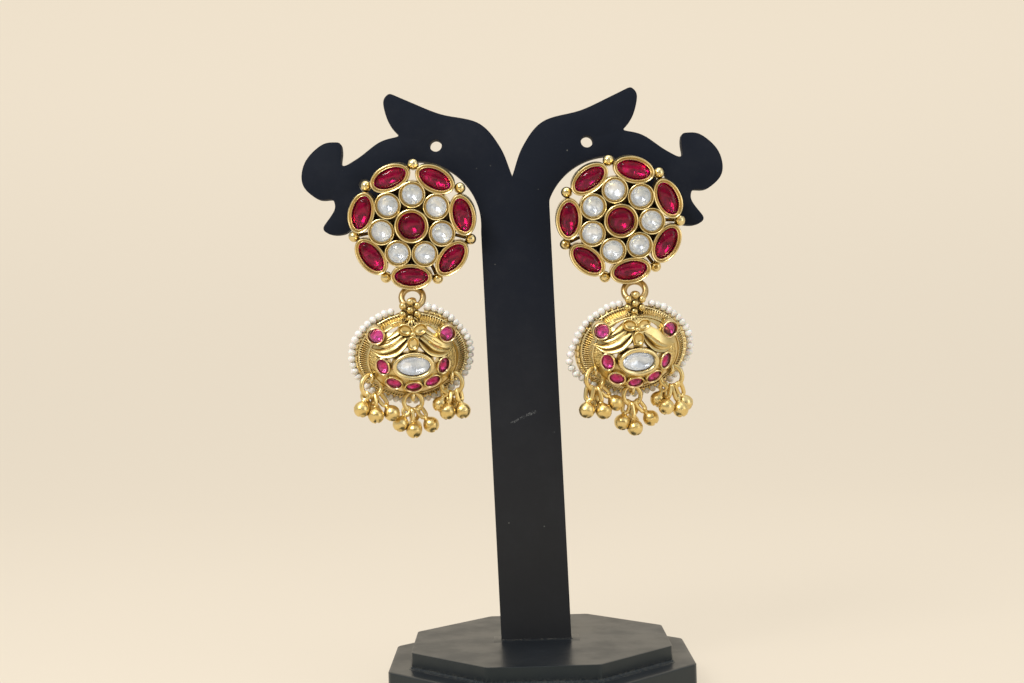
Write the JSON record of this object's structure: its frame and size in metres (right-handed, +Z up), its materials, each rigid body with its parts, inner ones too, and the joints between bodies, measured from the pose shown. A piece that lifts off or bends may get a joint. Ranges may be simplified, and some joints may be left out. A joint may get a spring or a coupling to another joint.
{
  "type": "jhumka earrings on display stand",
  "caption": "Antique gold jhumka earrings with ruby and clear stones, seed pearls and little bells, hanging from the crooks of a black cut-out display stand on an octagonal base.",
  "frame": {"origin": "on the underside of the base, straight below the notch between the two heads of the stand, and at the middle of the whole part seen from above", "axes": "+Z up, +X to the right of a viewer who faces the earrings, +Y from the front of the stand to its back"},
  "size_m": [0.1048, 0.074, 0.1499],
  "materials": {
    "black_paint": "matt black paint on wood board, slightly scuffed",
    "antique_gold": "antique gold plate, darker in the recesses",
    "bright_gold": "polished gold plate",
    "ruby_glass": "foiled deep red glass, polished",
    "clear_glass": "foiled clear glass, polished",
    "seed_pearl": "off-white pearl lustre"
  },
  "bodies": {
    "stand": {"base_lower": "black_paint", "base_upper": "black_paint", "display_board": "black_paint", "left_crystal_1": "clear_glass", "left_crystal_2": "clear_glass", "left_crystal_3": "clear_glass", "left_crystal_4": "clear_glass", "left_crystal_5": "clear_glass", "left_crystal_6": "clear_glass", "left_crystal_7": "clear_glass", "left_post_nut": "antique_gold", "left_ruby_1": "ruby_glass", "left_ruby_2": "ruby_glass", "left_ruby_3": "ruby_glass", "left_ruby_4": "ruby_glass", "left_ruby_5": "ruby_glass", "left_ruby_6": "ruby_glass", "left_ruby_7": "ruby_glass", "left_ruby_centre": "ruby_glass", "left_stud_frame": "antique_gold", "right_crystal_1": "clear_glass", "right_crystal_2": "clear_glass", "right_crystal_3": "clear_glass", "right_crystal_4": "clear_glass", "right_crystal_5": "clear_glass", "right_crystal_6": "clear_glass", "right_crystal_7": "clear_glass", "right_post_nut": "antique_gold", "right_ruby_1": "ruby_glass", "right_ruby_2": "ruby_glass", "right_ruby_3": "ruby_glass", "right_ruby_4": "ruby_glass", "right_ruby_5": "ruby_glass", "right_ruby_6": "ruby_glass", "right_ruby_7": "ruby_glass", "right_ruby_centre": "ruby_glass", "right_stud_frame": "antique_gold"},
    "left_drop": {"left_dome": "antique_gold", "left_dome_crystal": "clear_glass", "left_dome_ruby_inner": "ruby_glass", "left_dome_ruby_outer": "ruby_glass", "left_ghungroos_east": "bright_gold", "left_ghungroos_middle": "bright_gold", "left_ghungroos_west": "bright_gold", "left_pearl_string": "seed_pearl"},
    "right_drop": {"right_dome": "antique_gold", "right_dome_crystal": "clear_glass", "right_dome_ruby_inner": "ruby_glass", "right_dome_ruby_outer": "ruby_glass", "right_ghungroos_east": "bright_gold", "right_ghungroos_middle": "bright_gold", "right_ghungroos_west": "bright_gold", "right_pearl_string": "seed_pearl"}
  },
  "joints": [
    {"name": "left_swing", "type": "hinge", "parent": "stand", "child": "left_drop", "pos_m": [-0.02553, -0.0049, 0.09647], "axis": [1, 0, 0], "range_deg": [-25, 60]},
    {"name": "right_swing", "type": "hinge", "parent": "stand", "child": "right_drop", "pos_m": [0.02942, -0.0049, 0.09657], "axis": [1, 0, 0], "range_deg": [-25, 60]}
  ]
}
